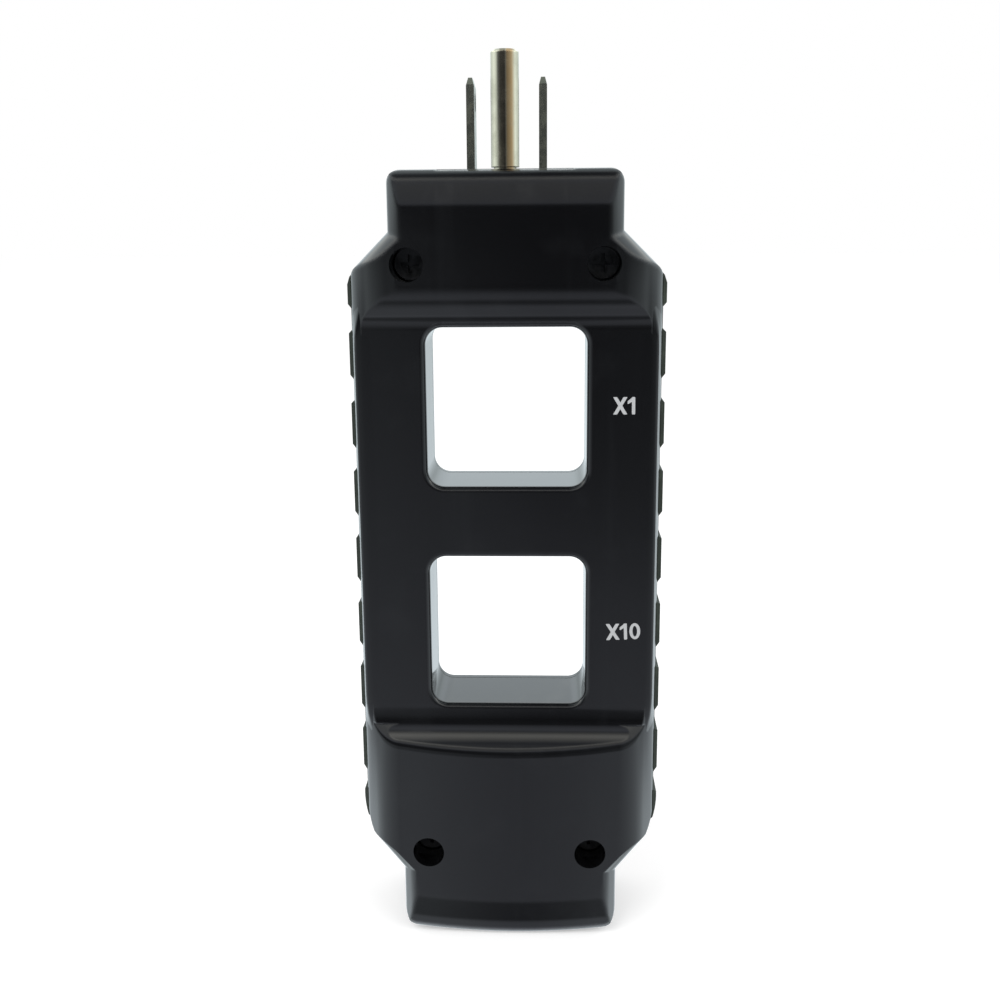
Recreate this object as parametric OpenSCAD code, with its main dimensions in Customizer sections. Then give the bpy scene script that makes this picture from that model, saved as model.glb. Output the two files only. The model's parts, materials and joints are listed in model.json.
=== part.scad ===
/* [Case] */
// Length of the thick block at the socket end, without its ramp
socket_block = 37.6; // [36:0.1:41]
// Length of the thick block at the plug end, without its ramp
plug_block = 21.27; // [20:0.1:23.5]
// Depth of the crowned block at the socket end
case_d = 25; // [24.6:0.1:27]
// Depth of the flat block at the plug end
plug_d = 23.6; // [23.2:0.1:24.4]
// Wall thickness of both shells
wall = 2.2; // [1.9:0.05:2.3]
// Width of the necks at both ends
neck_w = 40.1; // [39.8:0.1:41.6]
// Length of the neck at the socket end
socket_neck = 12.6; // [12:0.05:13]
// Length of the neck at the plug end
plug_neck = 10.15; // [9.6:0.05:10.8]

/* [Waist and windows] */
// Thickness of the flat waist
waist_t = 15.56; // [15.4:0.02:16.5]
// Side of the square clamp windows
window = 28; // [25.5:0.1:30.5]
// Corner radius of the windows
window_r = 3; // [2:0.1:3.6]
// Radius of the rounded window lips
lip_r = 0.9; // [0.4:0.1:1]
// Width of the case on each side of the windows
side_bar = 13.25; // [12.6:0.05:15]
// Height of the case between the two windows
mid_bar = 12.85; // [12.2:0.05:14.2]

/* [Side grips] */
// Number of pads on each side
pads = 9; // [3:2:9]
// Distance from pad to pad
pad_pitch = 12.42; // [11:0.02:12.6]
// Length of one pad
pad_l = 8.8; // [6:0.1:9.4]
// Height of the pads above the case
pad_h = 0.6; // [0.4:0.05:1]
// Width of the grip strips
grip_w = 8; // [6:0.1:8.6]

/* [Screws] */
// Radius of the screw recesses
recess_r = 2.9; // [2.8:0.05:3.2]
// Half distance between the screws near the plug
plug_screw_x = 16.7; // [16.6:0.05:17.2]
// Half distance between the screws near the socket
socket_screw_x = 15.1; // [15:0.05:15.8]
// Distance of the screws near the plug from the plug end
plug_screw_z = 15.65; // [15.2:0.05:16]
// Distance of the screws near the socket from the socket end
socket_screw_z = 17.35; // [16.8:0.05:17.8]

/* [Hidden] */

// standard 15 A plug and socket sizes
blade_x = 6.35;
blade_y = 5.24;
blade_t = 1.4;
blade_w = 6.35;
blade_out = 15.9;
blade_hole_r = 1.6;
pin_y = blade_y - 11.86;
pin_r = 2.375;
pin_out = 19.1;
line_slot_w = 7;
neutral_slot_w = 8.3;
slot_t = 1.9;
pin_hole_r = 2.6;
collar_h = 0.6;
collar_in = 1.5;
root_r = 1.9;
root_gap = 0.3;

// case form, from the socket end to the plug end
half_win = window / 2;
half_w = half_win + side_bar;
half_d = case_d / 2;
half_plug_d = plug_d / 2;
half_neck = neck_w / 2;
socket_ramp = 4.67;
socket_margin = 3.83;
plug_margin = 0.97;
plug_ramp = 4.11;
ten_z = socket_block + socket_ramp + socket_margin + half_win;
one_z = ten_z + window + mid_bar;
ramp_top = one_z + half_win + plug_margin;
case_l = ramp_top + plug_ramp + plug_block;
crown_r = 250;
dome_r = 200;
flank_r = 7.4;
flank_x = half_w - flank_r;
shoulder_r = 5;
socket_lean = 51.5;
plug_lean = 45;
socket_side_r = 12;
plug_side_r = 4;
socket_end_r = 4.3;
plug_end_r = 2.6;
neck_edge_r = 4;
neck_flat = half_neck - 2.45;
corner_low = socket_neck + (half_w - half_neck) * tan(socket_lean);
corner_high = case_l - plug_neck - (half_w - half_neck) * tan(plug_lean);
grip_mid = (corner_low + corner_high) / 2;
grip_low = corner_low - 0.8;
grip_high = corner_high + 0.8;
seam_y = -1.8;
waist_rear = seam_y - waist_t / 2;
waist_front = seam_y + waist_t / 2;
socket_edge_r = 4.3;
socket_hollow = 3.3;
plug_edge_r = 6.5;
plug_hollow = 1.06;
plug_bevel_l = 5.85;
plug_bevel_d = 0.7;
plug_round = 2.1;
socket_bevel_l = 7.59;
socket_bevel_a = 7;
socket_chin_l = 3.29;
socket_chin_a = 14;
socket_round = 1.9;
end_wall = 3;
over = 0.2;
swell = 0.01;
groove_w = 0.2;
groove_d = 0.2;
fine = 96;

// inner layout
tunnel_wall = 1.6;
tunnel_gap = 0.08;
fit = 0.1;
channel = 1.2;
strip_in = 0.1;
boss_r = 4.4;
post_r = 3.6;
head_y = -5.4;
head_h = 2;
head_r = recess_r - 0.2;
shank_r = 1.4;
insert_w = 23;
insert_d = 19;
face_w = 24;
face_d = 19.6;
flange_t = 3;
wire_r = 1.4;
coil_r = 0.75;
row = 1.55;
former_t = 0.9;
flange_h = 0.7;
flange_lap = 0.55;
crimp_r = 2;
crimp_l = 6;
tail_l = 5;
cover_t = 2;
body_w = 20.8;
body_d = 20;
body_z = end_wall + 2;

// coil layers round the ten-turn window, and the room left for the wires
former_in = half_win + tunnel_wall + fit;
first_h = former_in + former_t + coil_r + 0.05;
second_h = first_h + row;
former_out = second_h + coil_r + flange_lap;
socket_room = 5.35;
plug_room = 4.7;
tail_top = ten_z - former_out - socket_room;
body_l = tail_top - tail_l - cover_t - body_z;
cross_z = one_z + half_win + tunnel_wall + wire_r + 0.45;
crimp_low = cross_z + plug_room;
insert_l = case_l - crimp_low - crimp_l - 0.1;
cavity_rear = waist_rear + wall;
cavity_front = waist_front - wall;
side_wire_x = (former_out + half_w - wall) / 2;
bar_x = (half_win + tunnel_wall + half_w - wall) / 2;

function unit(v) = v / norm(v);
function ring(p, d, r, n) =
  let (u = unit(abs(d[2]) < 0.9 ? cross(d, [0, 0, 1]) : cross(d, [1, 0, 0])))
  let (v = cross(d, u))
  [for (k = [0:n - 1]) p + r * (cos(360 * k / n) * u + sin(360 * k / n) * v)];
function carried(path, i, last) =
  let (d = unit(path[i] - path[i - 1]))
  let (e = i < len(path) - 1 ? unit(path[i + 1] - path[i]) : d)
  let (n = unit(d + e))
  [for (q = last) q + ((path[i] - q) * n) / (d * n) * d];
function rings(path, i, last) =
  i == len(path) ? [] : let (now = i == 0 ? last : carried(path, i, last))
  concat(now, rings(path, i + 1, now));
function turn(h, r, y, zc) = [
  for (c = [[-1, -1, 180], [1, -1, 270], [1, 1, 0], [-1, 1, 90]])
    for (a = [0:30:90])
      [c[0] * (h - r) + r * cos(c[2] + a), y, zc + c[1] * (h - r) + r * sin(c[2] + a)]
];

// round wire along a path
module wire(path, r, n) {
  m = len(path);
  polyhedron(
    points = rings(path, 0, ring(path[0], unit(path[1] - path[0]), r, n)),
    faces = concat(
      [[for (k = [0:n - 1]) k]],
      [for (i = [0:m - 2]) for (k = [0:n - 1])
        [i * n + k, (i + 1) * n + k, (i + 1) * n + (k + 1) % n, i * n + (k + 1) % n]],
      [[for (k = [n - 1:-1:0]) (m - 1) * n + k]]
    )
  );
}

module along_y(y0, y1) {
  translate([0, y1, 0]) rotate([90, 0, 0]) linear_extrude(height = y1 - y0) children();
}

module y_rod(x, z, y0, y1, r) {
  translate([x, y1, z]) rotate([90, 0, 0]) cylinder(r = r, h = y1 - y0, $fn = fine);
}

module z_rod(x, y, z0, z1, r) {
  translate([x, y, z0]) cylinder(r = r, h = z1 - z0, $fn = fine);
}

module box(x0, x1, y0, y1, z0, z1) {
  translate([x0, y0, z0]) cube([x1 - x0, y1 - y0, z1 - z0]);
}

// square with rounded corners, about the centre
module round_square(h, r) {
  square([2 * h, 2 * (h - r)], center = true);
  square([2 * (h - r), 2 * h], center = true);
  for (sx = [-1, 1]) for (sy = [-1, 1])
    translate([sx * (h - r), sy * (h - r)]) circle(r = r, $fn = fine);
}

// height of the domed socket end at a distance x from the middle
function dome(x, r) = dome_r - sqrt(pow(r, 2) - x * x);

// front view of the case, moved outward by o
module outline(o) {
  hw = half_w + o;
  hn = half_neck + o;
  r0 = max(socket_side_r + o, 0.4);
  r1 = max(plug_side_r + o, 0.4);
  sx0 = half_neck - socket_end_r;
  sz0 = dome(sx0, dome_r - socket_end_r);
  touch = sx0 * (dome_r + o) / (dome_r - socket_end_r);
  px0 = half_neck - plug_end_r;
  // one shoulder: its foot at the neck, and both ends of its rounded corner
  function bend(neck, lean, r) =
    let (zj = neck - o * tan(45 - lean / 2))
    let (zc = zj + (hw - hn) * tan(lean), t = r * tan(45 - lean / 2))
    [[hn, zj], [hw - t * cos(lean), zc - t * sin(lean)], [hw, zc + t]];
  low = bend(socket_neck, socket_lean, r0);
  up = bend(plug_neck, plug_lean, r1);
  right = concat(
    [[touch, -2], [touch, sz0], [hn, sz0]], low,
    [for (i = [2:-1:0]) [up[i][0], case_l - up[i][1]]],
    [[hn, case_l - plug_end_r], [px0, case_l + o]]
  );
  intersection() {
    union() {
      polygon(concat(right, [for (i = [len(right) - 1:-1:0]) [-right[i][0], right[i][1]]]));
      for (s = [-1, 1]) {
        translate([s * sx0, sz0]) circle(r = socket_end_r + o + swell, $fn = fine);
        translate([s * px0, case_l - plug_end_r]) circle(r = plug_end_r + o + swell, $fn = fine);
        translate([s * (hw - r0), low[2][1]]) circle(r = r0 + swell, $fn = fine);
        translate([s * (hw - r1), case_l - up[2][1]]) circle(r = r1 + swell, $fn = fine);
      }
    }
    union() {
      translate([0, dome_r]) circle(r = dome_r + o, $fn = 720);
      translate([-half_w - 10, half_neck]) square([2 * half_w + 20, case_l]);
    }
  }
}

// crowned cross-section of the case, moved inward by o
module crowned(o) {
  hw = half_w - o;
  hd = half_d - o;
  cr = crown_r - o;
  fr = flank_r - o;
  cx = flank_x;
  cy = hd - cr + sqrt(pow(cr - fr, 2) - cx * cx);
  square([2 * hw, 2 * cy], center = true);
  for (sx = [-1, 1]) for (sy = [-1, 1])
    translate([sx * cx, sy * cy]) circle(r = fr + swell, $fn = fine);
  intersection() {
    translate([0, hd - cr]) circle(r = cr, $fn = 720);
    translate([0, cr - hd]) circle(r = cr, $fn = 720);
    square([2 * cx * cr / (cr - fr), 4 * hd], center = true);
  }
}

module neck_section() {
  rise = sqrt(pow(crown_r, 2) - pow(neck_flat, 2)) - crown_r + half_d;
  hx = half_neck + 2 * swell;
  cx = hx - neck_edge_r;
  cy = rise - sqrt(pow(neck_edge_r, 2) - pow(neck_flat - cx, 2));
  intersection() {
    translate([0, half_d - crown_r]) circle(r = crown_r, $fn = 720);
    translate([0, crown_r - half_d]) circle(r = crown_r, $fn = 720);
    union() {
      square([2 * hx, 2 * cy], center = true);
      square([2 * neck_flat - 0.4, 3 * half_d], center = true);
      for (sx = [-1, 1]) for (sy = [-1, 1])
        translate([sx * cx, sy * cy]) circle(r = neck_edge_r, $fn = fine);
    }
  }
}

// corner of a ramp: a point at distance t along the direction a, leaning from the case's length
function along(p, t, a) = [p[0] + t * sin(a), p[1] + t * cos(a)];

// side view of one side: socket block, ramp, flat waist, ramp, bevelled plug block
module half_side(w) {
  b = half_d + over;
  sa = atan((half_d - w) / socket_ramp);
  pa = atan((half_plug_d - w) / plug_ramp);
  foot = [w, socket_block + socket_ramp];
  head = [w, ramp_top];
  brow = [half_plug_d, ramp_top + plug_ramp];
  sr = socket_hollow / tan(sa / 2);
  pr = plug_hollow / tan(pa / 2);
  bt = plug_edge_r * tan(pa / 2);
  e = half_plug_d - plug_bevel_d;
  f = e - plug_round;
  difference() {
    union() {
      polygon([
        [-1, -2], [b, -2], along(foot, (b - w) / sin(sa), sa) + [0, -2 * (b - w) / tan(sa)],
        along(foot, socket_hollow, sa) + [0, -2 * socket_hollow * cos(sa)],
        [w, foot[1] + socket_hollow], [w, head[1] - plug_hollow],
        along(head, plug_hollow, pa), along(brow, -bt, pa), [half_plug_d, brow[1] + bt],
        [half_plug_d, case_l - plug_bevel_l], [e, case_l - plug_round], [f, case_l], [-1, case_l]
      ]);
      translate([half_plug_d - plug_edge_r, brow[1] + bt]) circle(r = plug_edge_r + swell, $fn = fine);
      translate([f, case_l - plug_round]) circle(r = plug_round, $fn = fine);
    }
    translate([w + sr, foot[1] + socket_hollow]) circle(r = sr + swell, $fn = fine);
    translate([w + pr, head[1] - plug_hollow]) circle(r = pr + swell, $fn = fine);
  }
}

module side_view() {
  half_side(waist_front);
  mirror([1, 0]) half_side(-waist_rear);
}

// prism behind a crowned face that leans by tilt and passes through p, on the rear side;
// share is its part of the case's crown
module leaning_face(p, tilt, share) {
  cr = crown_r / share;
  fr = flank_r / share;
  cy = cr - sqrt(pow(cr - fr, 2) - flank_x * flank_x);
  cut_x = flank_x * cr / (cr - fr);
  far = case_l + 30;
  translate([0, p[0], p[1]]) rotate([tilt, 0, 0]) linear_extrude(height = 2 * far, center = true) {
    intersection() {
      translate([0, cr]) circle(r = cr, $fn = 720);
      translate([-cut_x, -1]) square([2 * cut_x, cy + 2]);
    }
    translate([-flank_x - fr, cy]) square([2 * (flank_x + fr), far]);
    for (s = [-1, 1]) translate([s * flank_x, cy]) circle(r = fr + swell, $fn = fine);
  }
}

// the edge between socket block and ramp, rounded by crowned faces that follow its curve
module ramp_edge(w, steps) {
  a = atan((half_d - w) / socket_ramp);
  mid = [socket_edge_r - half_d, socket_block - socket_edge_r * tan(a / 2)];
  intersection_for (i = [1:steps]) {
    b = a * i / (steps + 1);
    union() {
      leaning_face(mid + socket_edge_r * [-cos(b), sin(b)], -b, cos(b) - sin(b) / tan(a));
      box(-half_w - 20, half_w + 20, -half_d - 9, half_d + 30, socket_block + socket_ramp, case_l + 9);
    }
  }
}

// what a leaning crowned face takes off the socket end: outside p, over a length l
module leaning_cut(p, tilt, l) {
  cr = crown_r / (cos(tilt) + sin(tilt) * crown_r / dome_r);
  x1 = half_neck + 0.8 + tilt / 60;
  translate([0, p[0], p[1]]) rotate([tilt, 0, 0]) linear_extrude(height = 2 * l, center = true)
    difference() {
      translate([-x1, -4]) square([2 * x1, 4 + cr - sqrt(cr * cr - x1 * x1)]);
      translate([0, cr]) circle(r = cr, $fn = 720);
    }
}

// bevel, chin and round edge of the domed socket end: point, tilt and length of each face
function socket_faces(steps) =
  let (top = [-half_d, socket_bevel_l])
  let (long = (socket_bevel_l - socket_chin_l) / cos(socket_bevel_a))
  let (chin = along(top, long, 180 - socket_bevel_a))
  let (drop = (chin[1] - socket_round) * tan(socket_chin_a))
  let (mid = [chin[0] + drop + socket_round / cos(socket_chin_a), socket_round])
  concat(
    [[top, socket_bevel_a, 14], [chin, socket_chin_a, 14]],
    [for (i = [1:steps]) let (b = socket_chin_a + (90 - socket_chin_a) * i / (steps + 1))
      [mid - socket_round * [cos(b), sin(b)], b, 7]]
  );

// the children, trimmed by the first n of these faces on both sides, one face after another
module trimmed(faces, n) {
  if (n == 0) children();
  else difference() {
    trimmed(faces, n - 1) children();
    leaning_cut(faces[n - 1][0], faces[n - 1][1], faces[n - 1][2]);
    mirror([0, 1, 0]) leaning_cut(faces[n - 1][0], faces[n - 1][1], faces[n - 1][2]);
  }
}

// block with its edge rounded along one shoulder
module shoulder_prism(neck, lean) {
  cy = half_d - shoulder_r + over / 2;
  translate([half_neck + 2 * swell, 0, neck]) rotate([0, 90 - lean, 0])
    linear_extrude(height = 3 * case_l, center = true) {
      translate([-2 * case_l, -half_d - 5]) square([2 * case_l - shoulder_r, case_d + 10]);
      translate([-shoulder_r - 1, -cy]) square([shoulder_r + 1, 2 * cy]);
      for (s = [-1, 1]) translate([-shoulder_r, s * cy]) circle(r = shoulder_r, $fn = fine);
    }
}

module shoulders(neck, lean) {
  intersection() {
    shoulder_prism(neck, lean);
    mirror([1, 0, 0]) shoulder_prism(neck, lean);
  }
}

// outer form of the closed case
module envelope() {
  lap = 12;
  trimmed(socket_faces(3), 5) intersection() {
    union() {
      intersection() {
        linear_extrude(height = case_l) crowned(0);
        shoulders(socket_neck, socket_lean);
        translate([0, 0, case_l]) mirror([0, 0, 1]) shoulders(plug_neck, plug_lean);
      }
      linear_extrude(height = socket_neck + lap) neck_section();
      translate([0, 0, case_l - plug_neck - lap]) linear_extrude(height = plug_neck + lap) neck_section();
    }
    along_y(-half_d - 5, half_d + 5) outline(0);
    rotate([90, 0, 90]) linear_extrude(height = 2 * half_w + 20, center = true) side_view();
    ramp_edge(-waist_rear, 3);
    mirror([0, 1, 0]) ramp_edge(waist_front, 3);
  }
}

module end_openings(grow) {
  box(-insert_w / 2 - grow, insert_w / 2 + grow, -insert_d / 2 - grow, insert_d / 2 + grow,
    case_l - end_wall - 1, case_l + 1);
  box(-face_w / 2 - grow, face_w / 2 + grow, -face_d / 2 - grow, face_d / 2 + grow,
    -1, end_wall + 1);
}

module cavity() {
  plug_y = half_plug_d - wall;
  intersection() {
    along_y(cavity_rear, cavity_front) outline(-wall);
    box(-half_w, half_w, -half_d, half_d, end_wall, case_l - end_wall);
  }
  intersection() {
    along_y(-half_d, half_d) outline(-wall);
    linear_extrude(height = case_l) crowned(wall);
    union() {
      box(-half_w, half_w, -half_d, half_d, end_wall, socket_block - 2);
      box(-half_w, half_w, -plug_y, plug_y, ramp_top + plug_ramp + 1.2, case_l - end_wall);
    }
  }
  box(-16, 16, 0, 7.3, socket_block - 5, socket_block + 2);
  box(-12, 12, -9.3, 7.3, ramp_top + plug_ramp - 1.8, ramp_top + plug_ramp + 3);
}

module windows(y0, y1, h) {
  for (z = [ten_z, one_z])
    translate([0, 0, z]) along_y(y0, y1) round_square(h, window_r + h - half_win);
}

// rounded lip of one window; the face is at y = 0 and the case lies on the +y side
module lip() {
  h = half_win;
  for (a = [0:90:270]) rotate([0, a, 0]) {
    translate([h, 0, 0]) linear_extrude(height = 2 * (h - window_r), center = true) corner_cut();
    translate([h - window_r, 0, h - window_r]) rotate([-90, 0, 0]) rotate([0, 0, -90])
      rotate_extrude(angle = 90, $fn = fine) translate([window_r, 0]) corner_cut();
  }
}

module corner_cut() {
  difference() {
    translate([-0.3, -0.5]) square([lip_r + 0.3, lip_r + 0.5]);
    translate([lip_r, lip_r]) circle(r = lip_r, $fn = fine);
  }
}

module lips(y, side) {
  for (z = [ten_z, one_z]) translate([0, y, z]) mirror([0, side < 0 ? 0 : 1, 0]) lip();
}

function screw_points() = [
  for (s = [-1, 1]) each [
    [s * socket_screw_x, socket_screw_z],
    [s * plug_screw_x, case_l - plug_screw_z]
  ]
];

module grip_channels() {
  intersection() {
    along_y(seam_y - grip_w / 2 - fit, seam_y + grip_w / 2 + fit) difference() {
      outline(3);
      outline(-channel);
    }
    box(-half_w - 5, half_w + 5, -half_d, half_d, grip_low - fit, grip_high + fit);
  }
}

// fine line round the case where the shells meet
module seam_groove() {
  along_y(seam_y - groove_w / 2, seam_y + groove_w / 2) difference() {
    outline(1);
    outline(-groove_d);
  }
}

module rear_shell() {
  color("#1b1b1e") difference() {
    union() {
      difference() {
        intersection() {
          envelope();
          box(-50, 50, -50, seam_y, -10, case_l + 10);
        }
        cavity();
      }
      windows(waist_rear + 0.6, cavity_front - tunnel_gap, half_win + tunnel_wall);
      for (p = screw_points()) y_rod(p[0], p[1], -half_d + 1.2, seam_y, boss_r);
    }
    windows(-30, 30, half_win);
    lips(waist_rear, -1);
    for (p = screw_points()) {
      y_rod(p[0], p[1], -30, head_y + head_h, recess_r);
      y_rod(p[0], p[1], -30, 0, shank_r + 0.2);
    }
    grip_channels();
    end_openings(fit);
    seam_groove();
  }
}

module front_shell() {
  color("#1f1f22") difference() {
    union() {
      difference() {
        intersection() {
          envelope();
          box(-50, 50, seam_y, 50, -10, case_l + 10);
        }
        cavity();
      }
      for (p = screw_points()) y_rod(p[0], p[1], seam_y, half_d - 1.2, post_r);
    }
    windows(-30, 30, half_win);
    lips(waist_front, 1);
    for (p = screw_points()) y_rod(p[0], p[1], -10, 6, shank_r + 0.05);
    grip_channels();
    end_openings(fit);
    seam_groove();
  }
}

module grip(side) {
  half_g = grip_w / 2;
  intersection() {
    union() {
      along_y(seam_y - half_g, seam_y + half_g) difference() {
        outline(-strip_in);
        outline(-channel + 0.02);
      }
      for (i = [0:pads - 1]) intersection() {
        along_y(seam_y - half_g, seam_y + half_g) difference() {
          outline(pad_h);
          outline(-channel + 0.02);
        }
        mirror([side < 0 ? 1 : 0, 0, 0])
          translate([0, seam_y, grip_mid + (i - (pads - 1) / 2) * pad_pitch]) pad_block();
      }
    }
    mirror([side < 0 ? 1 : 0, 0, 0]) along_y(-half_d, half_d) grip_ends();
  }
}

// both ends of a grip, where its pads run out into the shoulders
module grip_ends() {
  x = [15, half_w - 1, half_w + pad_h - 0.5, half_w + pad_h + 0.02];
  z = [0, 0, 1.2, 2.6];
  polygon(concat(
    [for (i = [0:3]) [x[i], grip_low + z[i]]], [for (i = [3:-1:0]) [x[i], grip_high - z[i]]]
  ));
}

// chamfered block that bounds one pad
module pad_block() {
  a = pad_l / 2;
  b = grip_w / 2;
  c = 0.75;
  x1 = half_w + pad_h + 0.01;
  intersection() {
    along_y(-50, 50) polygon([[15, -a], [x1 - c, -a], [x1, c - a], [x1, a - c], [x1 - c, a], [15, a]]);
    linear_extrude(height = 40, center = true)
      polygon([[15, -b], [x1 - c, -b], [x1, c - b], [x1, b - c], [x1 - c, b], [15, b]]);
  }
}

module left_grip() {
  color("#2c332c") grip(-1);
}

module right_grip() {
  color("#2c332c") grip(1);
}

module case_screws() {
  color("silver") for (p = screw_points()) difference() {
    union() {
      y_rod(p[0], p[1], head_y, head_y + head_h, head_r);
      y_rod(p[0], p[1], head_y + head_h, 5, shank_r);
    }
    translate([p[0], head_y, p[1]]) for (a = [0, 90]) rotate([0, a, 0])
      cube([3.2, 2, 0.7], center = true);
  }
}

module plug_insert() {
  top = case_l;
  low = case_l - insert_l;
  color("#26262a") difference() {
    union() {
      intersection() {
        box(-insert_w / 2, insert_w / 2, -insert_d / 2, insert_d / 2, low, top);
        rotate([90, 0, 90]) linear_extrude(height = 60, center = true)
          polygon([
            [-insert_d / 2, low], [insert_d / 2, low], [insert_d / 2, top - 0.6],
            [insert_d / 2 - 0.6, top], [0.6 - insert_d / 2, top], [-insert_d / 2, top - 0.6]
          ]);
      }
      box(-insert_w / 2 - 2, insert_w / 2 + 2, -insert_d / 2, insert_d / 2,
        top - end_wall - 0.05 - flange_t, top - end_wall - 0.05);
    }
    for (s = [-1, 1])
      box(s * blade_x - blade_t / 2 - 0.03, s * blade_x + blade_t / 2 + 0.03,
        blade_y - blade_w / 2 - 0.03, blade_y + blade_w / 2 + 0.03, low - 1, top + 1);
    z_rod(0, pin_y, low - 1, top + 1, root_r + 0.03);
    z_rod(0, pin_y, low - 1, top - collar_in + 0.03, pin_r + collar_h + 0.03);
  }
}

module blade(side) {
  tip = case_l + blade_out;
  low = case_l - insert_l;
  difference() {
    intersection() {
      translate([side * blade_x, blade_y, 0]) rotate([90, 0, 90])
        linear_extrude(height = blade_t, center = true) polygon([
          [-blade_w / 2, low], [-1.1, low], [-1.1, low - 2.9], [1.1, low - 2.9], [1.1, low],
          [blade_w / 2, low], [blade_w / 2, tip - 1.2], [blade_w / 2 - 0.9, tip],
          [0.9 - blade_w / 2, tip], [-blade_w / 2, tip - 1.2]
        ]);
      along_y(-30, 30) translate([side * blade_x, 0]) polygon([
        [-blade_t / 2, low - 5], [blade_t / 2, low - 5], [blade_t / 2, tip - 1.4],
        [0.35, tip], [-0.35, tip], [-blade_t / 2, tip - 1.4]
      ]);
    }
    translate([side * blade_x, blade_y, tip - 4]) rotate([0, 90, 0])
      cylinder(r = blade_hole_r, h = 6, center = true, $fn = fine);
  }
}

module line_blade() {
  color("#b9a368") blade(-1);
}

module neutral_blade() {
  color("#b9a368") blade(1);
}

module ground_pin() {
  low = case_l - insert_l;
  tip = case_l + pin_out;
  color("#c3ad72") {
    z_rod(0, pin_y, low - 2.9, low, 1.35);
    z_rod(0, pin_y, low, case_l - collar_in, pin_r + collar_h);
    z_rod(0, pin_y, case_l - collar_in - 0.1, case_l + root_gap + 0.1, root_r);
    z_rod(0, pin_y, case_l + root_gap, tip - 0.4, pin_r);
    translate([0, pin_y, tip - 0.4]) cylinder(r1 = pin_r, r2 = pin_r - 0.4, h = 0.4, $fn = fine);
  }
}

function plug_points() = [[-blade_x, blade_y], [blade_x, blade_y], [0, pin_y]];

module plug_crimps() {
  top = case_l - insert_l - 0.1;
  color("#c9c9cf") for (p = plug_points()) difference() {
    z_rod(p[0], p[1], top - crimp_l, top, crimp_r);
    z_rod(p[0], p[1], top - crimp_l - 1, top + 1, wire_r + 0.05);
  }
}

// where the wires enter the plug crimps
wire_top = case_l - insert_l - 3.4;

module line_wire() {
  color("#202020") wire([
    [-blade_x, blade_y, wire_top], [-blade_x, blade_y, crimp_low - 0.2],
    [-blade_x - 0.6, blade_y - 0.8, crimp_low - 1.6], [-blade_x - 3, blade_y - 3, cross_z + 1.1],
    [6.5 - bar_x, 0.4, cross_z], [2.5 - bar_x, -2, cross_z - 1.8], [-bar_x, -4, cross_z - 6.5],
    [-bar_x, -4, splice_z + 4.4]
  ], wire_r, 12);
}

splice_z = one_z - half_win - 0.4;

module line_splice() {
  color("#c9c9cf") difference() {
    z_rod(-bar_x, -4, splice_z, splice_z + 8, crimp_r);
    z_rod(-bar_x, -4, splice_z - 1, splice_z + 5, coil_r + 0.05);
    z_rod(-bar_x, -4, splice_z + 4, splice_z + 9, wire_r + 0.05);
  }
}

// ten turns round the ten-turn window: five in the inner layer, five in the outer
first_r = window_r + first_h - half_win;
second_r = first_r + row;
function row_y(i) = seam_y + (i - 2.5) * row;

module line_coil() {
  inner = [for (i = [0:4]) each turn(first_h, first_r, row_y(i), ten_z)];
  outer = [for (i = [5:-1:2]) each turn(second_h, second_r, row_y(i), ten_z)];
  start = [
    [-bar_x, -4, splice_z + 3.6], [-bar_x, -4, splice_z - 1],
    [-first_h - 0.3, row_y(0) + 0.2, ten_z + first_h - 0.5],
    [-first_h, row_y(0), ten_z + first_h - first_r - 1]
  ];
  finish = [
    [-second_h, row_y(1), ten_z - second_h + second_r - 1],
    [-second_h, row_y(1), ten_z - second_h - 0.5],
    [-second_h + 1.5, row_y(1) + 1.6, tail_top + 4], [-14, 1.2, tail_top + 2.6],
    [-9, 4.6, tail_top + 2], [-blade_x, blade_y, tail_top + 1],
    [-blade_x, blade_y, tail_top - 3]
  ];
  color("#b5552b") wire(concat(start, inner, outer, finish), coil_r, 6);
}

module coil_former() {
  h0 = former_in;
  h1 = h0 + former_t;
  h2 = former_out;
  y0 = cavity_rear + 0.08;
  y1 = cavity_front - 0.08;
  color("#d8d2c0") translate([0, 0, ten_z]) difference() {
    union() {
      along_y(y0, y1) round_square(h1, window_r + h1 - half_win);
      along_y(y0, y0 + flange_h) round_square(h2, window_r + h2 - half_win);
      along_y(y1 - flange_h, y1) round_square(h2, window_r + h2 - half_win);
    }
    along_y(y0 - 1, y1 + 1) round_square(h0, window_r + h0 - half_win);
  }
}

module coil_tape() {
  h0 = second_h + coil_r + 0.05;
  h1 = h0 + 0.3;
  color("#d9b53a") translate([0, 0, ten_z]) difference() {
    along_y(row_y(2) - 0.6, row_y(5) + 0.7) round_square(h1, window_r + h1 - half_win);
    along_y(-20, 20) round_square(h0, window_r + h0 - half_win);
  }
}

module neutral_wire() {
  color("#d8d8d8") wire([
    [blade_x, blade_y, wire_top], [blade_x, blade_y, crimp_low - 0.2],
    [blade_x + 0.6, blade_y - 0.8, crimp_low - 1.6], [blade_x + 3, blade_y - 3, cross_z + 1.1],
    [bar_x - 6.5, 0.8, cross_z], [bar_x - 2.5, 0.3, cross_z - 1.8], [bar_x, 0.3, cross_z - 6.5],
    [bar_x, 0.3, splice_z + 1], [side_wire_x, 0.3, splice_z - 4],
    [side_wire_x, 0.3, tail_top + 8], [side_wire_x - 1.5, 0.7, tail_top + 5.2],
    [side_wire_x - 5, 1.4, tail_top + 3.4], [11, 2.2, tail_top + 2.6],
    [blade_x + 1.4, blade_y - 0.7, tail_top + 2.2], [blade_x, blade_y, tail_top + 0.9],
    [blade_x, blade_y, tail_top - 2.5]
  ], wire_r, 12);
}

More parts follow.
